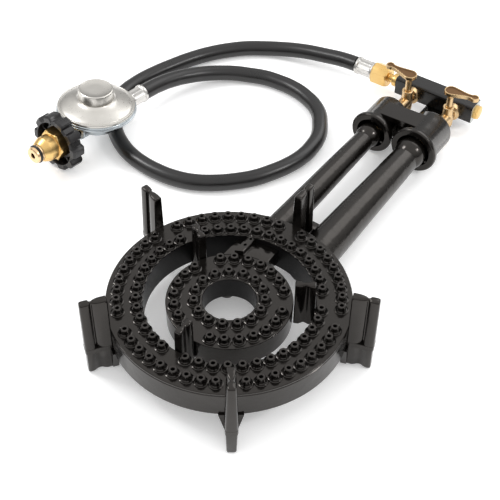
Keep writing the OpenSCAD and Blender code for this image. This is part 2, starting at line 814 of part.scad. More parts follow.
module regulator_cover() {
    color("#cfccc6") at_regulator() difference() {
        union() {
            translate([0, 0, flange_z + 4.5]) cylinder(h = 2.5, r = flange_r - 1.2, $fn = 96);
            translate([0, 0, rim_z - tiny]) cylinder(h = dome_top - rim_z, r1 = flange_r - 3, r2 = cap_base_r, $fn = 96);
            translate([0, 0, dome_top - 2]) cylinder(h = 3, r = cap_base_r, $fn = 96);
        }
        translate([0, 0, flange_z + 4.4]) cylinder(h = 2.7, r = chamber_r - 1, $fn = 96);
        translate([0, 0, rim_z]) cylinder(h = dome_top - rim_z - 2, r1 = chamber_r - 2, r2 = cap_base_r - 4, $fn = 96);
        translate([0, 0, rim_z - 1]) cylinder(h = 20, r = cap_base_r - 4, $fn = 96);
    }
}

module regulator_cap() {
    color("#cfccc6") at_regulator() difference() {
        translate([0, 0, dome_top + 1]) cylinder(h = cap_h, r = cap_r, $fn = 96);
        translate([0, 0, dome_top]) cylinder(h = cap_h - 1, r = cap_r - shell_t, $fn = 96);
        translate([0, 0, dome_top + cap_h]) cylinder(h = 2, r = cap_r - 2.2, $fn = 96);
    }
}

adjuster_z = dome_top + 4;
plate_z = flange_z + 3.5;
plate_t = 1.6;

module adjuster_screw() {
    color("#9a9c9e") at_regulator() difference() {
        translate([0, 0, adjuster_z]) cylinder(h = 4.5, r = cap_r - shell_t, $fn = 64);
        translate([0, 0, adjuster_z + 2.5]) cylinder(h = 3, r = 4, $fn = 6);
    }
}

module pressure_spring() {
    turns = 5;
    wire_r = 0.8;
    coil_r = 8.5;
    z1 = plate_z + plate_t + wire_r;
    z2 = adjuster_z - wire_r;
    steps = turns * 12;
    points = [for (i = [0:steps], k = [0:5])
        let (a = 360 * i * turns / steps, z = z1 + (z2 - z1) * i / steps, r = coil_r + wire_r * cos(60 * k))
        [r * cos(a), r * sin(a), z + wire_r * sin(60 * k)]];
    sides = [for (i = [0:steps - 1], k = [0:5])
        let (a = i * 6 + k, b = i * 6 + (k + 1) % 6) [a, a + 6, b + 6, b]];
    color("#a9abac") at_regulator()
        polyhedron(points = points, faces = concat(sides, [[for (k = [0:5]) k]], [[for (k = [5:-1:0]) steps * 6 + k]]));
}

module diaphragm() {
    color("#3b3b3d") at_regulator() difference() {
        translate([0, 0, flange_z + 3.5]) cylinder(h = 1, r = flange_r - 1, $fn = 96);
        translate([0, 0, flange_z + 3]) cylinder(h = 2, r = 16, $fn = 96);
    }
}

post_r = 2;
arm_t = 2.2;
disc_r = 2.6;
disc_u = orifice_u + 1.2;

module diaphragm_plate() {
    post_z = pin_z + arm_t / 2 + gap;
    color("#b9bec2") at_regulator() {
        translate([0, 0, plate_z]) cylinder(h = plate_t, r = 15.7, $fn = 64);
        translate([0, 0, post_z]) cylinder(h = plate_z - post_z + tiny, r = post_r);
    }
}

// Lever inside the bowl: its long arm is under the diaphragm's post, and its short arm stands up
// and carries the disc that closes the inlet
module rocker() {
    color("#a9abac") at_regulator() difference() {
        union() {
            translate([pin_u - 1.5, -2, pin_z - arm_t / 2]) cube([-pin_u + 2, 4, arm_t]);
            translate([pin_u - 1.5, -2, pin_z - arm_t / 2]) cube([3, 4, inlet_z - pin_z + 3]);
        }
        translate([pin_u, -3, pin_z]) rotate([-90, 0, 0]) cylinder(h = 6, r = pin_r + running, $fn = 24);
    }
}

module rocker_pin() {
    color("#8d8f90") at_regulator() translate([pin_u, -6, pin_z]) rotate([-90, 0, 0])
        cylinder(h = 12, r = pin_r, $fn = 24);
}

module valve_disc() {
    color("#2b2b2b") at_regulator() along_inlet(disc_u, pin_u - 1.5, disc_r, disc_r);
}

module outlet_barb() {
    color("#c9c7c2") at_regulator() difference() {
        union() {
            along_inlet(outlet_reach - 6, outlet_reach + 22, gas_r, gas_r);
            along_inlet(outlet_reach + tiny, ferrule_start, 6.5, 6.5);
        }
        along_inlet(outlet_reach - 7, outlet_reach + 23, 2.5, 2.5);
    }
}

module ferrule_regulator() {
    color("#dedcd8") at_regulator() difference() {
        along_inlet(ferrule_start + tiny, outlet_reach + 22, ferrule_r, ferrule_r);
        along_inlet(ferrule_start - 1, outlet_reach + 23, gas_r, gas_r);
    }
}

// ---------------------------------------------------------------- cylinder connection

nose_r = 8.4;
seal_wire_r = 1.3;
seal_u = -nose_reach + 4.3;
nut_front = seal_u + 3;
nut_back = -38.2;
spigot_r = 4;

// Spigot that seats in the cylinder's valve: the nut turns on it, and its nose carries the seal
module inlet_spigot() {
    groove_r = nose_r - 2 * seal_wire_r + 0.6;
    color("#d9a441") at_regulator() difference() {
        union() {
            along_inlet(-nose_reach, seal_u - seal_wire_r, nose_r - 1.4, nose_r - 0.6);
            along_inlet(seal_u - seal_wire_r - tiny, seal_u + seal_wire_r + tiny, groove_r, groove_r);
            along_inlet(seal_u + seal_wire_r, nut_front - gap, nose_r, nose_r);
            along_inlet(nut_front - gap - tiny, orifice_u, spigot_r, spigot_r);
            along_inlet(neck_u - 4, orifice_u, throat_r, throat_r);
        }
        along_inlet(-nose_reach - 1, orifice_u + 1, 1.2, 1.2);
        along_inlet(-nose_reach - tiny, -nose_reach + 4, 2.4, 2.4);
    }
}

module nose_seal() {
    groove_r = nose_r - 2 * seal_wire_r + 0.6;
    color("#1c1b1b") at_regulator() translate([seal_u, 0, inlet_z]) rotate([0, 90, 0])
        rotate_extrude($fn = 48) translate([groove_r + seal_wire_r, 0]) circle(r = seal_wire_r, $fn = 24);
}

// The nut's front is a short cone and a round land; its hexagon drives in the handwheel
module pol_nut() {
    land_r = 12;
    cone_len = 6;
    hex_front = nut_front + 15;
    color("#e3b14e") at_regulator() difference() {
        union() {
            along_inlet(nut_front, nut_front + cone_len, nose_r + 0.8, land_r);
            along_inlet(nut_front + cone_len - tiny, hex_front + 1, land_r, land_r);
            translate([hex_front, 0, inlet_z]) rotate([0, 90, 0])
                cylinder(h = nut_back - hex_front, r = pol_hex / sqrt(3), $fn = 6);
        }
        along_inlet(nut_front - 1, 0, spigot_r + running, spigot_r + running);
    }
}

lobes = 10;

module handwheel() {
    hub = pol_hex / sqrt(3) + 2;
    depth = 14;
    web_t = 4;
    front = -wheel_back - depth;
    color("#2e2b2d") at_regulator() difference() {
        translate([front, 0, inlet_z]) rotate([0, 90, 0]) union() {
            cylinder(h = depth, r = wheel_r - 2.5, $fn = 96);
            for (a = [0:lobes - 1])
                rotate([0, 0, 360 / lobes * a]) translate([wheel_r - 4.5, 0, 0.5]) cylinder(h = depth - 1, r = 4.5, $fn = 32);
        }
        difference() {
            along_inlet(front - 1, front + depth - web_t, wheel_r - 5.5, wheel_r - 5.5);
            along_inlet(front + depth / 2, front + depth, hub, hub);
        }
        translate([front - 1, 0, inlet_z]) rotate([0, 90, 0])
            cylinder(h = depth + 2, r = pol_hex / sqrt(3), $fn = 6);
    }
}

outer_ring_trough();
outer_ring_head();
inner_ring_trough();
inner_ring_head();
gas_bridge();
mixing_tube_left();
mixing_tube_right();
tube_web();
leg_back();
leg_left();
leg_front_left();
leg_front_right();
leg_right();
finger_front();
finger_left();
finger_right();
air_housing();
manifold_bar();
bar_end_plug();
manifold_bracket();
bracket_screws();
inlet_nipple();
cock_body_left();
cock_body_right();
jet_left();
jet_right();
plug_left();
plug_right();
lever_left();
lever_right();
plug_spring_left();
plug_spring_right();
plug_nut_left();
plug_nut_right();
hose_nut();
hose_tail();
ferrule_manifold();
gas_hose();
ferrule_regulator();
outlet_barb();
regulator_body();
regulator_cover();
regulator_cap();
adjuster_screw();
pressure_spring();
diaphragm();
diaphragm_plate();
rocker();
rocker_pin();
valve_disc();
inlet_spigot();
pol_nut();
handwheel();
nose_seal();
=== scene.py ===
"""Twin-ring gas burner with its hose and regulator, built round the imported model."""

import json
import math

import bmesh
import bpy
from mathutils import Matrix, Vector


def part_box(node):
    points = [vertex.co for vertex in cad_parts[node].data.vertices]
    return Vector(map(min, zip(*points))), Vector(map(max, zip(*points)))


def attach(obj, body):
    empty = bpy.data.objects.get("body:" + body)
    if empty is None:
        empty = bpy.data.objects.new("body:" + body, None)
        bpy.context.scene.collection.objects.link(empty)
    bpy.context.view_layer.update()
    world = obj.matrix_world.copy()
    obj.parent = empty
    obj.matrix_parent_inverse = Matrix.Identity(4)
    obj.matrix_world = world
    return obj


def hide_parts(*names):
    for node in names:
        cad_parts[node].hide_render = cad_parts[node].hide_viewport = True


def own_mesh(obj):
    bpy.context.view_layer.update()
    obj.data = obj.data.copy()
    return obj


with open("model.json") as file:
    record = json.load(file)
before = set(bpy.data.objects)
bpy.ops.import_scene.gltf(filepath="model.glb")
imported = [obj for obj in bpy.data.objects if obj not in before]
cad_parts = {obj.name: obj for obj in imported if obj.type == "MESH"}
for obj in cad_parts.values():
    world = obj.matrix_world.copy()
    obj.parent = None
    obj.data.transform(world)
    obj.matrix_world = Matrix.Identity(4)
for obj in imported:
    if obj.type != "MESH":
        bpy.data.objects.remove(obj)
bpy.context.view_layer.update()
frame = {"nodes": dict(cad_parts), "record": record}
scene = bpy.context.scene


# ------------------------------------------------------------------ camera
# A long lens from the front right, about 45 degrees above the table, turned by one degree
# about its own axis.
eye = Vector((0.3414, -0.6153, 0.6871))
aim = Vector((-0.0155, -0.0813, 0.0440))
lean = math.radians(1.033)
ahead = (aim - eye).normalized()
level = ahead.cross(Vector((0, 0, 1))).normalized()
steep = level.cross(ahead)
camera_right = level * math.cos(lean) + steep * math.sin(lean)
camera_up = steep * math.cos(lean) - level * math.sin(lean)
camera = bpy.data.objects.new("camera", bpy.data.cameras.new("camera"))
scene.collection.objects.link(camera)
camera.matrix_world = Matrix.Translation(eye) @ Matrix(
    (camera_right, camera_up, -ahead)
).transposed().to_4x4()
camera.data.sensor_width = 36
camera.data.lens = 80.25
camera.data.clip_start = 0.01
scene.camera = camera


# ------------------------------------------------------------------ floor and light
# White paper on a light table, a room that is bright above and dim near the horizon, and soft
# boxes that draw the highlights on the enamel, because black gloss shows only what it mirrors.
def linear(code):
    """The linear colour of an sRGB hex value."""
    parts = [int(code[i : i + 2], 16) / 255 for i in (1, 3, 5)]
    return [c / 12.92 if c <= 0.04045 else ((c + 0.055) / 1.055) ** 2.4 for c in parts] + [1.0]


def add(tree, kind, sockets, **settings):
    """Adds one node. A socket gets a value, or a link where the value is another node's output."""
    made = tree.nodes.new(kind)
    for name, value in settings.items():
        setattr(made, name, value)
    for name, value in sockets.items():
        if isinstance(value, bpy.types.NodeSocket):
            tree.links.new(value, made.inputs[name])
        else:
            made.inputs[name].default_value = value
    return made


def new_finish(name, colour, metallic, roughness):
    """A material and its shader."""
    made = bpy.data.materials.new(name)
    made.use_nodes = True
    shader = made.node_tree.nodes["Principled BSDF"]
    shader.inputs["Base Color"].default_value = linear(colour)
    shader.inputs["Metallic"].default_value = metallic
    shader.inputs["Roughness"].default_value = roughness
    return made, shader


def shown(name, data):
    """An object that shows this mesh, curve or light."""
    made = bpy.data.objects.new(name, data)
    scene.collection.objects.link(made)
    return made


paper_half_width, paper_z = 4, -0.0004
floor_shape = bmesh.new()
bmesh.ops.create_grid(floor_shape, x_segments=1, y_segments=1, size=paper_half_width)
bmesh.ops.translate(floor_shape, verts=floor_shape.verts, vec=(0, 0, paper_z))
floor_mesh = bpy.data.meshes.new("floor")
floor_shape.to_mesh(floor_mesh)
floor_shape.free()
floor = shown("floor", floor_mesh)
paper, paper_shader = new_finish("white_paper", "#fbfbfb", 0, 0.9)
paper_shader.inputs["Specular IOR Level"].default_value = 0.1
paper_shader.inputs["Emission Color"].default_value = (1, 1, 1, 1)
paper_shader.inputs["Emission Strength"].default_value = 0.25
floor_mesh.materials.append(paper)

room = bpy.data.worlds.new("white_room")
room.use_nodes = True
toward = add(room.node_tree, "ShaderNodeTexCoord", {}).outputs["Generated"]
height = add(room.node_tree, "ShaderNodeSeparateXYZ", {"Vector": toward}).outputs["Z"]
bright = add(
    room.node_tree,
    "ShaderNodeMapRange",
    {"Value": height, "From Min": 0.1, "From Max": 0.75, "To Min": 0.32, "To Max": 1.15},
)
walls = room.node_tree.nodes["Background"]
room.node_tree.links.new(bright.outputs[0], walls.inputs["Strength"])
walls.inputs["Color"].default_value = (1, 1, 1, 1)
scene.world = room
scene.view_settings.view_transform = "Standard"

for name, place, size, power in (
    ("soft_box_left", (-0.9, -0.3, 0.9), 0.35, 5),
    ("soft_box_back", (0.2, 1.2, 1.0), 1.0, 5),
    ("soft_box_right", (1.0, 0.3, 1.0), 0.2, 4),
):
    box = bpy.data.lights.new(name, "AREA")
    box.size = size
    box.energy = power
    facing = (aim - Vector(place)).to_track_quat("-Z", "Y").to_matrix().to_4x4()
    shown(name, box).matrix_world = Matrix.Translation(place) @ facing


# ------------------------------------------------------------------ gas hose
# Extruded black rubber over a fibre lining, 8 mm bore and 15.5 mm outside. It leaves the
# manifold's ferrule, makes one loose loop on the table and rises into the regulator.
patch, wave = 22, 9


def surface(name, low, high, grain, relief, gloss, metallic=0.0, stretch=(1, 1, 1), swell=0.0):
    """A finish whose colour wanders from low to high in patches, and its shader.

    grain is its fine texture's size and relief its height, and swell is the height of the slow
    waves that bend its reflections, all in mm. gloss is its least and greatest roughness.
    """
    made, shader = new_finish(name, low, metallic, gloss[0])
    tree = made.node_tree
    where = add(tree, "ShaderNodeTexCoord", {}).outputs["Object"]
    spread = add(tree, "ShaderNodeMapping", {"Vector": where, "Scale": stretch}).outputs[0]
    fine = add(tree, "ShaderNodeTexNoise", {"Vector": spread, "Scale": 1000 / grain, "Detail": 3})
    broad = add(tree, "ShaderNodeTexNoise", {"Vector": where, "Scale": 1000 / patch, "Detail": 4})
    # Sockets 6 and 7 are the two colours of a mix.
    tint = add(
        tree,
        "ShaderNodeMix",
        {0: broad.outputs[0], 6: linear(low), 7: linear(high)},
        data_type="RGBA",
    )
    tree.links.new(tint.outputs[2], shader.inputs["Base Color"])
    both = add(
        tree, "ShaderNodeMath", {0: fine.outputs[0], 1: broad.outputs[0]}, operation="MULTIPLY"
    )
    shine = add(
        tree,
        "ShaderNodeMapRange",
        {
            "Value": both.outputs[0],
            "From Min": 0.12,
            "From Max": 0.42,
            "To Min": gloss[0],
            "To Max": gloss[1],
        },
    )
    tree.links.new(shine.outputs[0], shader.inputs["Roughness"])
    bump = add(
        tree,
        "ShaderNodeBump",
        {"Height": fine.outputs[0], "Strength": 1.0, "Distance": relief / 1000},
    )
    if swell:
        wavy = add(
            tree, "ShaderNodeTexNoise", {"Vector": where, "Scale": 1000 / wave, "Detail": 1}
        )
        bump = add(
            tree,
            "ShaderNodeBump",
            {
                "Height": wavy.outputs[0],
                "Strength": 1.0,
                "Distance": swell / 1000,
                "Normal": bump.outputs[0],
            },
        )
    tree.links.new(bump.outputs[0], shader.inputs["Normal"])
    return made, shader


hose_rubber, _ = surface(
    "extruded_rubber", "#131212", "#1b1919", 0.5, 0.006, (0.26, 0.38), swell=0.02
)
hose_width = 0.0155
lay = hose_width * 500
hose_route = [
    (-91, 221.5, 20), (-108, 222, 18.5), (-127, 221, 16), (-154, 218, 12.5), (-176, 212, 9.5),
    (-194, 204, lay), (-208, 194, lay), (-220, 182, lay), (-233, 165, lay), (-244, 145, lay),
    (-252, 125, lay), (-259, 104, lay), (-264, 80, lay), (-264, 56, lay), (-256, 34, lay),
    (-244, 18, lay), (-231, 6, lay), (-216, -4, lay), (-200, -11, lay), (-182, -15, lay),
    (-164, -16, lay), (-145, -14, lay), (-127, -8, lay), (-110, 3, lay), (-97, 15, lay),
    (-86, 28, lay), (-77, 44, lay), (-70, 61, lay), (-66, 79, lay), (-66, 97, lay),
    (-69, 113, lay), (-77, 129, lay), (-91, 147, lay), (-112, 159, lay), (-132, 164, lay),
    (-150, 164, lay), (-164.5, 162, lay), (-178, 156.7, 8), (-191, 150, 8.8), (-203, 140, 10.2),
    (-214, 127.3, 12.2), (-223, 112.4, 14.6), (-230, 96.4, 17), (-235, 79, 18.8),
    (-238.2, 58.4, 20.2),
]
hose_line = bpy.data.curves.new("gas_hose_rubber", "CURVE")
hose_line.dimensions = "3D"
hose_line.bevel_depth = hose_width / 2
hose_line.bevel_resolution = 6
hose_line.resolution_u = 6
hose_line.use_fill_caps = True
run = hose_line.splines.new("BEZIER")
run.bezier_points.add(len(hose_route) - 1)
for point, spot in zip(run.bezier_points, hose_route):
    point.co = Vector(spot) / 1000
    point.handle_left_type = point.handle_right_type = "AUTO"
hose_line.materials.append(hose_rubber)
hose = shown("gas_hose_rubber", hose_line)
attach(hose, "burner")
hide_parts("gas_hose")


# ------------------------------------------------------------------ ring castings
# Two hollow rings of grey cast iron, sand-cast and dipped in black enamel. A drilled head
# closes each channel, and the joint shows as a fine dark seam under the outer ring's edge.
def middle(node):
    """The middle of a CAD node's box, in metres."""
    low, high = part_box(node)
    return (Vector(low) + Vector(high)) / 2


weld = 0.0005


def turned(outline, steps):
    """A solid spun about the Z axis from (radius, height) points in mm."""
    shape = bmesh.new()
    corners = [shape.verts.new((radius, 0, height)) for radius, height in outline]
    pairs = list(zip(corners, corners[1:] + corners[:1]))
    if outline[0][0] == 0 and outline[-1][0] == 0:
        pairs.pop()
    sides = [shape.edges.new(pair) for pair in pairs]
    bmesh.ops.spin(
        shape,
        geom=corners + sides,
        cent=(0, 0, 0),
        axis=(0, 0, 1),
        angle=2 * math.pi,
        steps=steps,
        use_merge=True,
    )
    bmesh.ops.remove_doubles(shape, verts=shape.verts, dist=weld)
    return shape


def placed(point, turn=Matrix.Identity(4)):
    """The matrix that takes a shape in mm to its place in metres."""
    return Matrix.Translation(point) @ turn @ Matrix.Scale(0.001, 4)


def piece(name, shape, finish, place, body="burner", stands_for=(), edge=0.0, soft=35):
    """Ends a shape as a named piece that rides on its body, with its edges rounded by edge mm.

    An edge is one that turns by more than soft degrees.
    """
    bmesh.ops.transform(shape, matrix=place, verts=shape.verts)
    bmesh.ops.recalc_face_normals(shape, faces=shape.faces)
    mesh = bpy.data.meshes.new(name)
    shape.to_mesh(mesh)
    shape.free()
    for material in finish if isinstance(finish, tuple) else (finish,):
        mesh.materials.append(material)
    mesh.polygons.foreach_set("use_smooth", [True] * len(mesh.polygons))
    made = shown(name, mesh)
    if edge:
        rounding = made.modifiers.new("edges", "BEVEL")
        rounding.width = edge / 1000
        rounding.segments = 2
        rounding.limit_method = "ANGLE"
        rounding.angle_limit = math.radians(soft)
        rounding.harden_normals = True
    else:
        mesh.set_sharp_from_angle(angle=math.radians(soft))
    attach(made, body)
    if stands_for:
        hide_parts(*stands_for)
    return made


enamel, enamel_shader = surface(
    "black_enamel_on_cast_iron", "#060504", "#0b0908", 1.6, 0.012, (0.1, 0.26), swell=0.16
)
head_enamel, head_shader = surface(
    "black_enamel_on_machined_head", "#050404", "#0a0908", 1.2, 0.006, (0.08, 0.2), swell=0.03
)
warm_tint = (1.0, 0.93, 0.87, 1)
for shader, mirror in ((enamel_shader, 0.5), (head_shader, 0.62)):
    shader.inputs["Specular Tint"].default_value = warm_tint
    shader.inputs["Specular IOR Level"].default_value = mirror
ring_middle = middle("outer_ring_trough")
ring_middle.z = 0
outer_r, outer_bore_r = 97, 68
inner_r, inner_bore_r = 50.5, 21.5
floor_z, top_z, inner_top_z = 20, 44, 39.5
seam_z = 41.6
# The bore walls take a duller, less reflective black: painted shade that darkens the hole walls
# where the burner shades the table inside the rings.
bore_black_painted_shade, bore_shade_shader = surface(
    "duller_black_painted_shade_on_bore", "#050405", "#0a090a", 1.1, 0.03, (0.3, 0.5)
)
bore_shade_shader.inputs["Specular IOR Level"].default_value = 0.25


def bored(outline, steps, bore):
    """A turned ring whose bore faces take the finish's second material, a duller black that paints
    shade on the hole walls.
    """
    shape = turned(outline, steps)
    # Faces on the bore get the painted-shade black.
    for face in shape.faces:
        if face.calc_center_median().xy.length < bore + 0.1:
            face.material_index = 1
    return shape


# Both rings' bores take the duller black as painted shade.
piece(
    "outer_ring_casting",
    bored(
        [
            (outer_bore_r, floor_z), (outer_r - 0.3, floor_z), (outer_r, seam_z - 0.5),
            (outer_r - 0.7, seam_z), (outer_r - 0.1, seam_z + 0.5), (outer_r, top_z - 0.5),
            (outer_r - 0.5, top_z), (outer_bore_r + 0.5, top_z), (outer_bore_r, top_z - 0.5),
        ],
        160,
        outer_bore_r,
    ),
    (enamel, bore_black_painted_shade),
    placed(ring_middle),
    stands_for=("outer_ring_trough", "outer_ring_head"),
    edge=0.3,
    soft=25,
)
piece(
    "inner_ring_casting",
    bored(
        [
            (inner_bore_r, floor_z), (inner_r - 0.3, floor_z), (inner_r, inner_top_z - 0.5),
            (inner_r - 0.5, inner_top_z), (inner_bore_r + 2.2, inner_top_z),
            (inner_bore_r + 1.8, inner_top_z + 0.7), (inner_bore_r + 0.4, inner_top_z + 0.7),
            (inner_bore_r, inner_top_z + 0.2),
        ],
        128,
        inner_bore_r,
    ),
    (enamel, bore_black_painted_shade),
    placed(ring_middle),
    stands_for=("inner_ring_trough", "inner_ring_head"),
    edge=0.3,
    soft=25,
)


# ------------------------------------------------------------------ flame nozzles
# Short bosses cast on both heads, each with a flared foot in a thin raised collar, a flat top
# and a drilled port that shows black.
def nozzle_angles(places, first, skip):
    """Angles of a row's nozzles, leaving out each skip-th place."""
    return [first + 360 / places * i for i in range(places) if not skip or i % skip]


outer_inset, second_inset, third_inset, fourth_inset = 9, 5, 7, 6.5
nozzle = [
    (0, -1.5), (1.5, -1.5), (1.5, 5.6), (1.8, 5.9), (3.0, 5.9), (3.4, 5.5), (3.5, 3.4),
    (3.8, 1.9), (4.4, 1.3), (4.6, 0.9), (4.4, 0.3), (4.9, 0.2), (5.2, 0.9), (5.6, 0.7),
    (5.75, -0.2), (0, -1.8),
]
for name, height, rows in (
    (
        "outer_nozzles",
        top_z,
        (
            (outer_r - outer_inset, nozzle_angles(50, 90, 10)),
            (outer_bore_r + second_inset, nozzle_angles(42, -90, 14)),
        ),
    ),
    (
        "inner_nozzles",
        inner_top_z,
        (
            (inner_r - third_inset, nozzle_angles(24, -90, 8)),
            (inner_bore_r + fourth_inset, nozzle_angles(15, 102, 0)),
        ),
    ),
):
    shape = bmesh.new()
    for radius, angles in rows:
        for angle in angles:
            way = math.radians(angle)
            centre = (radius * math.cos(way), radius * math.sin(way), height)
            ends = [shape.verts.new((centre[0] + r, centre[1], centre[2] + z)) for r, z in nozzle]
            lines = [shape.edges.new(pair) for pair in zip(ends, ends[1:])]
            bmesh.ops.spin(
                shape,
                geom=ends + lines,
                cent=centre,
                axis=(0, 0, 1),
                angle=2 * math.pi,
                steps=20,
                use_merge=True,
            )
    bmesh.ops.remove_doubles(shape, verts=shape.verts, dist=weld)
    piece(name, shape, head_enamel, placed(ring_middle), soft=28)


# ------------------------------------------------------------------ gas bridge and tube web
# The deck that carries gas across the gap between the rings, with a raised rib and two
# cross-lighting ports, and the web that ties the tubes together: both part of the casting.
def copied(node, reach):
    """A CAD node's shape in metres, with its loose triangles joined within reach."""
    shape = bmesh.new()
    shape.from_mesh(frame["nodes"][node].data)
    bmesh.ops.remove_doubles(shape, verts=shape.verts, dist=reach)
    return shape


def softened(node, finish, edge):
    """A copy of a CAD node with its triangles merged into clean faces and its edges rounded."""
    shape = copied(node, 0.00001)
    bmesh.ops.dissolve_limit(
        shape, angle_limit=math.radians(1.5), verts=shape.verts, edges=shape.edges
    )
    piece(
        node + "_finished", shape, finish, Matrix.Identity(4),
        stands_for=(node,), edge=edge, soft=30,
    )


softened("gas_bridge", head_enamel, 0.5)
softened("tube_web", enamel, 0.8)


# ------------------------------------------------------------------ legs and fingers
# Five legs hold the pot and stand on the table, and three lower fingers join the rings. Each
# is a cast blade: two ribs, a groove between them, and a crowned top. A leg's foot is a thinner
# blade under a ledge, and a gusset behind each foot but the back one ties it to the ring.
leg_half = [
    (0.0, 4.2), (0.8, 5.0), (5.4, 5.0), (8.0, 4.6), (10.4, 3.5), (11.6, 2.6), (12.2, 2.0),
    (12.9, 2.0), (13.3, 2.7), (13.8, 4.4), (14.6, 4.9), (17.4, 5.0), (19.6, 4.9), (20.8, 4.2),
    (21.3, 3.2),
]
collar_half = [
    (0.0, 4.4), (0.8, 5.05), (2.5, 5.05), (18.2, 5.05), (19.7, 4.95), (20.9, 4.3), (21.4, 3.2),
]
foot_half = [
    (0.8, 3.7), (1.6, 4.5), (5.8, 4.6), (7.8, 3.6), (9.6, 2.4), (11.2, 2.0), (12.8, 2.4),
    (14.4, 3.4), (16.0, 4.3), (17.6, 4.6), (19.6, 4.5), (20.4, 4.0), (20.7, 3.3),
]
finger_half = [
    (0.0, 3.0), (0.8, 3.9), (4.0, 4.0), (5.6, 3.2), (7.2, 2.1), (8.8, 2.1), (10.2, 3.0),
    (11.4, 3.8), (13.0, 4.0), (15.4, 3.7), (16.4, 2.9),
]


def blade(half, low, high, top_share, crown):
    """A waisted blade in mm that thins to top_share of its thickness and ends in a crown."""
    shape = bmesh.new()
    outline = half + [(x, -y) for x, y in reversed(half)]
    foot = shape.faces.new([shape.verts.new((x, y, low)) for x, y in outline])
    grown = bmesh.ops.extrude_face_region(shape, geom=[foot], use_keep_orig=True)["geom"]
    risen = [v for v in grown if isinstance(v, bmesh.types.BMVert)]
    top = next(f for f in grown if isinstance(f, bmesh.types.BMFace))
    bmesh.ops.translate(shape, verts=risen, vec=(0, 0, high - crown - low))
    bmesh.ops.scale(shape, verts=risen, vec=(1, top_share, 1))
    for step, rise in ((0.25, 0.5), (0.4, 0.3), (0.6, 0.2)):
        bmesh.ops.inset_region(shape, faces=[top], thickness=step, depth=0)
        bmesh.ops.translate(shape, verts=top.verts, vec=(0, 0, crown * rise))
    return shape


def block(size, at, top=(1, 1)):
    """A box in mm whose top face is scaled by top."""
    shape = bmesh.new()
    bmesh.ops.create_cube(shape, size=1)
    for vert in shape.verts:
        if vert.co.z > 0:
            vert.co.x *= top[0]
            vert.co.y *= top[1]
    bmesh.ops.scale(shape, verts=shape.verts, vec=size)
    bmesh.ops.translate(shape, verts=shape.verts, vec=at)
    return shape


def joined(*shapes):
    """One shape from several closed ones."""
    whole = shapes[0]
    for shape in shapes[1:]:
        part = bpy.data.meshes.new("part")
        shape.to_mesh(part)
        shape.free()
        whole.from_mesh(part)
        bpy.data.meshes.remove(part)
    return whole


leg_start, ledge_z, leg_top_z, finger_top_z = 96.4, 22.5, 76, 64
foot_sunk, ledge_height = 0.5, 4.8
gusset_foot_z, gusset_foot_share = 11, 0.46
for index, leg in enumerate(("back", "left", "front_left", "front_right", "right")):
    turn = Matrix.Rotation(math.radians(90 + 72 * index), 4, "Z")
    start = Matrix.Translation((leg_start, 0, 0))
    upper = blade(leg_half, ledge_z, leg_top_z, 0.7, 2.0)
    foot = blade(foot_half, -ledge_z - foot_sunk, 0, 0.84, 1.6)
    bmesh.ops.scale(foot, vec=(1, 1, -1), verts=foot.verts)
    bmesh.ops.reverse_faces(foot, faces=foot.faces)
    collar = blade(collar_half, ledge_z, ledge_z + ledge_height, 1, 0.3)
    parts = [upper, foot, collar]
    if index:
        gusset = block((5, 19.4, 20.5), (-0.9, 0, 10.75))
        for vert in gusset.verts:
            if vert.co.z < gusset_foot_z:
                vert.co.y *= gusset_foot_share
        parts.append(gusset)
    whole = joined(*parts)
    bmesh.ops.transform(whole, matrix=turn @ start, verts=whole.verts)
    piece(
        "leg_" + leg + "_casting", whole, enamel, placed(ring_middle),
        stands_for=("leg_" + leg,), edge=0.55,
    )
for finger, angle in (("front", -90), ("left", 150), ("right", 30)):
    shape = blade(finger_half, floor_z + 1, finger_top_z, 0.8, 1.8)
    turn = Matrix.Rotation(math.radians(angle), 4, "Z")
    start = Matrix.Translation((inner_r + 0.4, 0, 0))
    bmesh.ops.transform(shape, matrix=turn @ start, verts=shape.verts)
    piece(
        "finger_" + finger + "_casting", shape, enamel, placed(ring_middle),
        stands_for=("finger_" + finger,), edge=0.45,
    )


# ------------------------------------------------------------------ mixing tubes
# Two tapered cast tubes that carry gas and air to the rings. Each ends in a round bulb with
# an open bell, and the thin left one runs on under the outer ring to the inner one.
tube_x, tube_z, bell_y = 22.3, 23.3, 258
bell_lip, bell_wall, bell_depth = 1.6, 3, 30
to_back = Matrix.Rotation(math.radians(-90), 4, "X")
tube_enamel, tube_shader = surface(
    "black_enamel_on_sand_cast_tube", "#070605", "#0d0b09", 2.6, 0.05, (0.14, 0.32), swell=0.3
)
tube_shader.inputs["Specular Tint"].default_value = warm_tint


def bulb(radius, steps):
    """Outline points of a bulb that ends in an open bell, from its tip's side inwards."""
    reach = [math.radians(-62 + 108 * i / steps) for i in range(steps + 1)]
    return [(radius * math.cos(a), bell_y + radius * math.sin(a)) for a in reach]


for side, x, start, near, far in (
    ("left", -tube_x, 18.6, 12.2, 10),
    ("right", tube_x, 72, 16.7, 13.1),
):
    bell = far + bell_lip
    bore = far - bell_wall
    outline = [(0, start), (near - 1.4, start + 0.3), (near - 0.3, start + 1.4), (near, outer_r)]
    outline += [(far - 0.1, bell_y - bell * 0.86)] + bulb(bell, 14)
    outline += [(bore, bell_y + bell * 0.6), (bore, bell_y - bell_depth), (0, bell_y - bell_depth)]
    piece(
        "mixing_tube_" + side + "_casting",
        turned(outline, 72),
        tube_enamel,
        placed(ring_middle + Vector((x, 0, tube_z)) / 1000, to_back),
        stands_for=("mixing_tube_" + side,),
        edge=0.3,
        soft=30,
    )


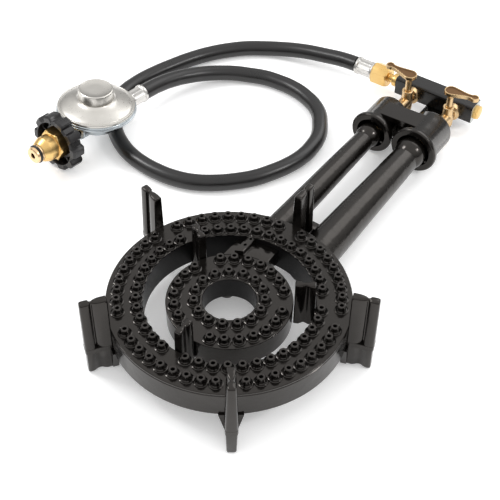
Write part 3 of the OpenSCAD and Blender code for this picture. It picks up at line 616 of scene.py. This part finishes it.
# ------------------------------------------------------------------ air housing
# Two cups cast as one behind the bells, joined by a flat web and a wall under it. Each has a
# thick rounded lip in front, three ribs that centre it on the bulb, and a hole in its back for
# the cock's jet.
cup_y, cup_end, cup_wall, jet_hole_r = 262, 304, 3, 5.4
cup_parts = []
for x, lip_r, bell in ((-tube_x, 20.8, 11.6), (tube_x, 22.8, 14.7)):
    cup_r = lip_r - 3.4
    cup_bore = cup_r - cup_wall
    cup = turned(
        [
            (cup_bore, cup_y), (lip_r - 1.2, cup_y), (lip_r, cup_y + 1.2), (lip_r, cup_y + 4.4),
            (lip_r - 0.6, cup_y + 5.2), (cup_r + 0.8, cup_y + 5.8), (cup_r, cup_y + 7.4),
            (cup_r, cup_end - 3.4), (cup_r - 0.9, cup_end - 1.2), (cup_bore, cup_end),
            (jet_hole_r, cup_end), (jet_hole_r, cup_end - 3.5), (cup_bore, cup_end - 3.5),
        ],
        72,
    )
    bmesh.ops.transform(cup, matrix=Matrix.Translation((x, 0, tube_z)) @ to_back, verts=cup.verts)
    cup_parts.append(cup)
    for angle in (90, 210, 330):
        rib_end = cup_r - 2.6
        rib = block((rib_end - bell, 4.6, 2.4), ((rib_end + bell) / 2, cup_y + 3.4, 0))
        swing = Matrix.Translation((x, 0, tube_z)) @ Matrix.Rotation(math.radians(-angle), 4, "Y")
        bmesh.ops.transform(rib, matrix=swing, verts=rib.verts)
        cup_parts.append(rib)
web_rise = 1.6
web = block((2 * tube_x, 20.5, 6), (0, cup_y + 21.8, tube_z + 14.4))
for vert in web.verts:
    if vert.co.x > 0:
        vert.co.z += web_rise
wall = block((12, 6, 26), (-1, cup_y + 21, tube_z + 2))
cup_parts += [web, wall]
piece(
    "air_housing_casting", joined(*cup_parts), enamel, placed(ring_middle),
    stands_for=("air_housing",), edge=0.5, soft=40,
)


# ------------------------------------------------------------------ manifold bar and bracket
# A length of square steel bar, drilled for gas and painted black. Its sawn right end is bare,
# and a bracket bent from strip carries it on the air housing.
def box_mm(node):
    """The lowest and highest corners of a CAD node's box, in mm."""
    return tuple(Vector(corner) * 1000 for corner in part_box(node))


black_paint, _ = surface(
    "black_gloss_paint_on_steel", "#0f0e0d", "#171514", 1.2, 0.008, (0.12, 0.24), swell=0.05
)
sawn_steel, _ = surface(
    "sawn_bare_steel", "#a6aba8", "#cdd0ce", 0.8, 0.05, (0.3, 0.45), 1.0, (1, 1, 6)
)
bar_low, bar_high = box_mm("manifold_bar")
bar = block(bar_high - bar_low, (bar_low + bar_high) / 2)
long_edges = [e for e in bar.edges if abs(e.verts[0].co.x - e.verts[1].co.x) > 1]
bmesh.ops.bevel(bar, geom=long_edges, offset=2.6, segments=5, profile=0.5, affect="EDGES")
bar.normal_update()
for face in bar.faces:
    if face.normal.x > 0.9:
        face.material_index = 1
piece(
    "manifold_bar_painted", bar, (black_paint, sawn_steel), placed((0, 0, 0)),
    stands_for=("manifold_bar",), edge=0.35,
)
softened("manifold_bracket", black_paint, 0.4)


# ------------------------------------------------------------------ brass fittings on the bar
# Bright machined brass: a domed hexagon plug in the bar's right end, and at its left end a
# nipple with a collar and the hose's hexagon nut with chamfered corners.
bright_brass, _ = surface("machined_brass", "#d2a75e", "#e6c689", 0.7, 0.004, (0.26, 0.38), 1.0)
plug_flats, hose_nut_flats = 13, 20


def hexagon(outline, flats):
    """A turned outline cut to a hexagon flats wide, so that its chamfers curve as on a nut."""
    shape = turned(outline, 72)
    for vert in shape.verts:
        radius = vert.co.xy.length
        if radius < flats * 0.45:
            continue
        way = math.atan2(vert.co.y, vert.co.x) % (math.pi / 3) - math.pi / 6
        share = min(1.0, flats / 2 / math.cos(way) / radius)
        vert.co.x *= share
        vert.co.y *= share
    return shape


to_right = Matrix.Rotation(math.radians(90), 4, "Y")
bar_axis = (bar_low + bar_high) / 2


def on_bar_axis(x, turn):
    """The matrix that takes a shape in mm to x on the bar's axis."""
    return placed(Vector((x, bar_axis.y, bar_axis.z)) / 1000, turn)


piece(
    "bar_end_plug_brass",
    hexagon(
        [(0, -6), (5, -6), (5, 0), (7.5, 0), (7.5, 3.2), (6.6, 4.2), (4, 4.9), (0, 5)],
        plug_flats,
    ),
    bright_brass, on_bar_axis(bar_high.x, to_right),
    stands_for=("bar_end_plug",), edge=0.15, soft=25,
)
nut_low, nut_high = box_mm("hose_nut")
nut_len = nut_high.x - nut_low.x
piece(
    "hose_nut_brass",
    hexagon(
        [
            (4.1, 0), (9.6, 0), (11.6, 1.3), (11.6, nut_len - 1.3), (9.6, nut_len),
            (5.1, nut_len), (5.1, nut_len - 8.8), (4.1, nut_len - 8.8),
        ],
        hose_nut_flats,
    ),
    bright_brass, on_bar_axis(nut_low.x, to_right),
    stands_for=("hose_nut",), edge=0.15, soft=25,
)
nipple_len = bar_low.x - nut_high.x
piece(
    "inlet_nipple_brass",
    turned(
        [
            (2.5, -7.9), (5, -7.9), (5, 0.4), (4.3, 1.0), (4.3, 4.6), (5.0, 5.2), (6.4, 5.6),
            (6.6, 6.4), (6.6, 9.6), (6.2, 10.2), (5.4, 10.6), (5.4, nipple_len),
            (4.9, nipple_len), (4.9, nipple_len + 6.9), (2.5, nipple_len + 6.9),
        ],
        48,
    ),
    bright_brass, on_bar_axis(nut_high.x, to_right),
    stands_for=("inlet_nipple",), edge=0.12, soft=25,
)


# ------------------------------------------------------------------ crimped ferrules
# Sleeves of thin steel, zinc plated, pressed onto the hose ends. The press leaves eight long
# flats round the middle and a raised band at each end.
zinc_plate, _ = surface("zinc_plated_steel", "#b4b1ac", "#dbd9d6", 3.0, 0.006, (0.22, 0.34), 1.0)


def ferrule(length):
    """A sleeve in mm along Z whose middle is pressed in by depth at each flat."""
    radius, flats, depth = 8.8, 8, 0.9
    shape = turned(
        [
            (4.1, 0), (radius - 0.5, 0), (radius, 0.5), (radius, 2.0), (radius - 0.3, 3.0),
            (radius - 0.3, length - 3.4), (radius, length - 2.4), (radius, length - 0.5),
            (radius - 0.4, length), (7.6, length), (7.6, 0.6), (4.1, 0.6),
        ],
        flats * 12,
    )
    bmesh.ops.subdivide_edges(
        shape,
        edges=[e for e in shape.edges if abs(e.verts[0].co.z - e.verts[1].co.z) > length * 0.4],
        cuts=5,
    )
    for vert in shape.verts:
        if 2.6 < vert.co.z < length - 3 and vert.co.xy.length > radius - 0.6:
            way = math.atan2(vert.co.y, vert.co.x) * flats
            vert.co.xy *= 1 - depth / radius * (0.5 + 0.5 * math.cos(way)) ** 0.6
    return shape


hose_left = Matrix.Rotation(math.radians(-90), 4, "Y")
ferrule_low, ferrule_high = box_mm("ferrule_manifold")
piece(
    "ferrule_manifold_steel",
    ferrule(ferrule_high.x - ferrule_low.x),
    zinc_plate, on_bar_axis(ferrule_high.x, hose_left),
    stands_for=("ferrule_manifold",), soft=30,
)
joints = {joint["name"]: joint for joint in frame["record"]["behaviour"]["joints"]}
outward = Vector(joints["connector_spin"]["axis"]).normalized()
skyward = Vector(joints["diaphragm_slide"]["axis"]).normalized()
sideways = skyward.cross(outward)
regulator_middle = Vector(joints["connector_spin"]["pos_m"]) + outward * 0.05
inlet_axis = placed(regulator_middle, Matrix((sideways, skyward, outward)).transposed().to_4x4())
upright = placed(regulator_middle, Matrix((outward, sideways, skyward)).transposed().to_4x4())
outlet_ferrule_start, outlet_ferrule_len = 42.05, 19.9
piece(
    "ferrule_regulator_steel",
    ferrule(outlet_ferrule_len),
    zinc_plate,
    inlet_axis @ Matrix.Translation((0, 0, outlet_ferrule_start)),
    stands_for=("ferrule_regulator",), soft=30,
)


# ------------------------------------------------------------------ cocks
# Two small cast brass cocks screwed into the bar. The body has a vertical cup for the plug,
# the stem stands in it, and the lever is a cast teardrop with a raised rim round a dull recess.
tumbled_brass, _ = surface(
    "tumbled_cast_brass", "#b79668", "#dcc198", 1.6, 0.02, (0.22, 0.36), 1.0
)
dull_brass, _ = surface(
    "oxidised_brass_recess", "#6a5038", "#856749", 0.9, 0.03, (0.45, 0.6), 1.0
)
bar_front = bar_low.y
back_y = ring_middle.y * 1000 + cup_end
cock_z, lever_z, lever_t, lever_len = 20, 48.5, 3.4, 23


def lever_shape(length):
    """A teardrop lever in mm along +X: hub, taper, neck and round tip, with its recess."""
    hub, neck, tip = 6.8, 2.8, 4.2
    half = [
        (-hub * math.cos(math.radians(a)), hub * math.sin(math.radians(a)))
        for a in range(0, 112, 8)
    ]
    half += [(length * 0.55, neck + 0.75), (length * 0.72, neck), (length - tip * 0.8, neck)]
    half += [
        (length - tip * math.cos(math.radians(a)), tip * math.sin(math.radians(a)))
        for a in range(48, 181, 12)
    ]
    shape = bmesh.new()
    outline = half[:-1] + [(length + tip, 0)] + [(x, -y) for x, y in reversed(half[1:-1])]
    base = shape.faces.new([shape.verts.new((x, y, 0)) for x, y in outline])
    grown = bmesh.ops.extrude_face_region(shape, geom=[base], use_keep_orig=True)["geom"]
    risen = [v for v in grown if isinstance(v, bmesh.types.BMVert)]
    top = next(f for f in grown if isinstance(f, bmesh.types.BMFace))
    bmesh.ops.translate(shape, verts=risen, vec=(0, 0, lever_t))
    bmesh.ops.inset_region(shape, faces=[top], thickness=1.25, depth=0)
    rim = bmesh.ops.inset_region(shape, faces=[top], thickness=0.3, depth=0)["faces"]
    bmesh.ops.translate(shape, verts=top.verts, vec=(0, 0, -1.0))
    top.material_index = 1
    for face in rim:
        face.material_index = 1
    return shape


for side, angle in (("left", 173.5), ("right", 7)):
    body_name = "cock_" + side
    axis = middle("plug_" + side)
    axis.z = 0
    y = axis.y * 1000
    across = turned(
        [
            (0, back_y - 7.4), (5, back_y - 7.4), (5, back_y + 0.4), (7.2, back_y + 0.8),
            (7.4, back_y + 2.6), (5.4, back_y + 4.4), (4.9, back_y + 8), (5.6, y - 6),
            (5.6, y + 5), (5.2, bar_front - 7.4), (6.4, bar_front - 6.6),
            (8.2, bar_front - 6.0), (8.4, bar_front - 1.2), (7.9, bar_front - 0.1),
            (4.9, bar_front), (4.9, bar_front + 4.8), (0, bar_front + 4.8),
        ],
        48,
    )
    bmesh.ops.transform(
        across,
        matrix=Matrix.Translation((axis.x * 1000, 0, cock_z)) @ to_back,
        verts=across.verts,
    )
    cup = turned(
        [
            (0, 11.4), (5.0, 11.4), (5.8, 12.2), (6.0, 20), (5.2, 26), (5.0, 30.6), (5.5, 31),
            (5.5, 32.3), (5.1, 32.8), (3.5, 32.8), (3.5, 31.6), (0, 31.6),
        ],
        48,
    )
    bmesh.ops.translate(cup, verts=cup.verts, vec=(axis.x * 1000, y, 0))
    piece(
        "cock_body_" + side + "_brass", joined(across, cup), tumbled_brass,
        placed((0, 0, 0)), stands_for=("cock_body_" + side,), edge=0.2, soft=30,
    )
    stem = turned(
        [
            (0, 31.7), (3.2, 31.7), (3.2, 44.6), (3.9, 45.4), (4.5, 46.4), (4.6, 48.6),
            (0, 48.6),
        ],
        32,
    )
    handle = lever_shape(lever_len)
    bmesh.ops.transform(
        handle,
        matrix=Matrix.Rotation(math.radians(angle), 4, "Z") @ Matrix.Translation((0, 0, lever_z)),
        verts=handle.verts,
    )
    piece(
        "lever_" + side + "_brass", joined(handle, stem), (tumbled_brass, dull_brass),
        placed(axis), body=body_name, stands_for=("lever_" + side,), edge=0.3, soft=40,
    )


# ------------------------------------------------------------------ regulator
# A low-pressure regulator in two zinc die castings crimped together. The cover rises to a
# round cap with a dished top, and the rolled flange shows two fine bluish steps.
die_cast, _ = surface(
    "polished_zinc_die_casting", "#b9b6b0", "#d6d3cd", 2.4, 0.003, (0.26, 0.36), 1.0
)
rolled_zinc, _ = surface(
    "rolled_zinc_flange", "#a2a9ad", "#c3c9cc", 1.8, 0.003, (0.26, 0.36), 1.0
)
piece(
    "regulator_cover_zinc",
    turned(
        [
            (30, 15.4), (36.4, 15.4), (36.4, 16.9), (35.9, 17.7), (35.0, 18.0), (34.5, 17.7),
            (34.0, 17.8), (33.4, 18.4), (31, 19.5), (27, 21.0), (23, 22.3), (20, 23.2),
            (18.6, 23.9), (17.8, 24.6), (17.2, 25.2), (0, 25.2), (0, 15.4),
        ],
        128,
    ),
    die_cast, upright, stands_for=("regulator_cover",), edge=0.15, soft=28,
)
piece(
    "regulator_cap_zinc",
    turned(
        [
            (0, 25.0), (16.0, 25.0), (16.6, 25.6), (16.6, 33.6), (16.2, 34.6), (15.3, 35.1),
            (14.4, 34.8), (13.4, 34.3), (7, 34.1), (0, 34.2),
        ],
        96,
    ),
    die_cast, upright, stands_for=("regulator_cap",), edge=0.15, soft=28,
)
flange = turned(
    [
        (0, -6.0), (17, -6.0), (19.3, -5.2), (20.4, 2), (22, 4.6), (24.5, 6.2), (29, 8.2),
        (33, 9.8), (36.4, 10.9), (37.4, 11.4), (37.6, 12.1), (37.4, 12.9), (36.7, 13.3),
        (36.7, 13.6), (37.2, 14.0), (37.3, 14.8), (36.9, 15.3), (36.1, 15.5), (0, 15.5),
    ],
    128,
)
bosses = turned(
    [
        (6.1, -26), (8.8, -26), (9.5, -25.3), (9.5, 0), (7.2, 1), (7.2, 39.4), (6.6, 40),
        (4.1, 40), (4.1, 12), (6.1, 12),
    ],
    64,
)
bmesh.ops.transform(bosses, matrix=to_right, verts=bosses.verts)
piece(
    "regulator_body_zinc", joined(flange, bosses), rolled_zinc, upright,
    stands_for=("regulator_body",), edge=0.15, soft=28,
)
piece(
    "outlet_barb_steel",
    turned(
        [
            (2.6, 34.5), (3.9, 34.5), (3.9, 40.1), (6.5, 40.1), (6.5, 45.9), (3.9, 45.9),
            (3.9, 61.5), (2.6, 61.5),
        ],
        48,
    ),
    zinc_plate, inlet_axis, stands_for=("outlet_barb",), edge=0.15, soft=28,
)


# ------------------------------------------------------------------ cylinder connection
# The brass nut that screws into the gas cylinder, driven by a moulded black handwheel with ten
# lobes. A spigot runs through it, and its nose carries a rubber seal in front.
nose_tip, nose_bore_r, cylinder_nut_flats = -80.6, 2.6, 26.5
piece(
    "cylinder_nut_brass",
    hexagon(
        [
            (4.1, -73.3), (8.7, -73.3), (9.2, -72.8), (11.7, -67.4), (12.0, -66.8), (12.0, -58.8),
            (13.6, -58.4), (15.3, -57.4), (15.3, -39.5), (13.6, -38.2), (4.1, -38.2),
        ],
        cylinder_nut_flats,
    ),
    bright_brass, inlet_axis, body="connector", stands_for=("pol_nut",),
    edge=0.15, soft=25,
)
nose_brass, _ = surface("turned_nose_brass", "#dfb98a", "#f0d2a8", 1.0, 0.01, (0.22, 0.34), 1.0)
bore_brown, _ = surface("tarnished_bore", "#4a2512", "#6b3a1c", 0.8, 0.02, (0.4, 0.6), 1.0)
nose = turned(
    [
        (0, nose_tip + 6), (nose_bore_r, nose_tip + 6), (nose_bore_r, nose_tip + 0.5),
        (3.1, nose_tip), (6.2, nose_tip), (7.4, nose_tip + 0.7), (7.8, nose_tip + 2.2),
        (7.8, nose_tip + 3.0), (6.5, nose_tip + 3.0), (6.5, nose_tip + 5.6),
        (8.4, nose_tip + 5.6), (8.4, -73.6), (4, -73.6), (4, -17), (0, -17),
    ],
    56,
)
for face in nose.faces:
    spot = face.calc_center_median()
    if spot.xy.length < nose_bore_r + 0.1 and spot.z < nose_tip + 7:
        face.material_index = 1
piece(
    "inlet_spigot_brass", nose, (nose_brass, bore_brown), inlet_axis,
    stands_for=("inlet_spigot",), edge=0.1, soft=28,
)
seal_rubber, _ = surface("nitrile_rubber_seal", "#0e0d0d", "#171616", 0.6, 0.01, (0.3, 0.42))
seal_r, seal_cord_r, seal_y = 7.5, 1.3, nose_tip + 4.3
seal_ring = [
    (
        seal_r + seal_cord_r * math.cos(math.radians(a)),
        seal_y + seal_cord_r * math.sin(math.radians(a)),
    )
    for a in range(0, 360, 24)
]
piece(
    "nose_seal_rubber", turned(seal_ring, 56), seal_rubber, inlet_axis,
    stands_for=("nose_seal",), soft=60,
)
wheel_plastic, _ = surface(
    "moulded_black_plastic", "#121011", "#1a1819", 0.7, 0.01, (0.26, 0.38)
)
wheel_front, wheel_back, wheel_r, lobes = -55.2, -41.2, 27.4, 10
wheel = turned(
    [
        (15.4, wheel_front + 7), (17.1, wheel_front + 7), (17.3, wheel_back - 4),
        (20.6, wheel_back - 4), (21.1, wheel_front + 1.0), (21.6, wheel_front),
        (25.9, wheel_front), (wheel_r, wheel_front + 1.6), (wheel_r, wheel_back - 1.6),
        (25.9, wheel_back), (15.4, wheel_back),
    ],
    200,
)
rim_starts, valley_depth = 25.5, 3.9
for vert in wheel.verts:
    radius = vert.co.xy.length
    if radius > rim_starts:
        swing = math.cos(math.atan2(vert.co.y, vert.co.x) * lobes) * 2.1 + 0.35
        rise = min(1.0, max(0.0, 0.5 + swing / 2))
        vert.co.xy *= 1 - valley_depth * (1 - rise * rise * (3 - 2 * rise)) / radius
ribs = []
for index in range(lobes):
    rib = block((4.8, 1.8, 6), (19.1, 0, wheel_front + 8.5))
    bmesh.ops.rotate(
        rib, verts=rib.verts, cent=(0, 0, 0),
        matrix=Matrix.Rotation(2 * math.pi * (index + 0.5) / lobes, 3, "Z"),
    )
    ribs.append(rib)
piece(
    "handwheel_plastic", joined(wheel, *ribs), wheel_plastic, inlet_axis,
    body="connector", stands_for=("handwheel",), edge=0.5, soft=40,
)


# ------------------------------------------------------------------ pressure spring
# The spring that sets the gas pressure is an open coil, wound from drawn wire. It stands
# between the diaphragm's plate and the adjuster. The real spring shortens towards the adjuster
# as the diaphragm lifts; this piece is a fixed copy of the CAD coil.
spring_steel, _ = surface(
    "drawn_spring_steel", "#8a8b8d", "#a7a8aa", 0.6, 0.01, (0.25, 0.35), 1.0
)
spring_coil = copied("pressure_spring", 1e-6)
pressure_spring = piece(
    "pressure_spring_wire", spring_coil, spring_steel, Matrix.Identity(4),
    stands_for=("pressure_spring",), soft=80,
)
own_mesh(pressure_spring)


# ------------------------------------------------------------------ hidden pieces
# Jets, plugs, their springs, the hose tail and the rest of the regulator's inside keep their
# own shapes and take the finish of what they are made of.
plain_finish = {
    "bright_brass": bright_brass,
    "raw_brass": tumbled_brass,
    "spring_steel": spring_steel,
    "die_cast": die_cast,
    "seal_rubber": seal_rubber,
    "plated_steel": zinc_plate,
}
for entry in frame["record"]["subparts"]:
    finish = plain_finish.get(entry["material_slot"])
    carried = frame["nodes"].get(entry["node"])
    if finish and carried:
        carried.data.materials.clear()
        carried.data.materials.append(finish)
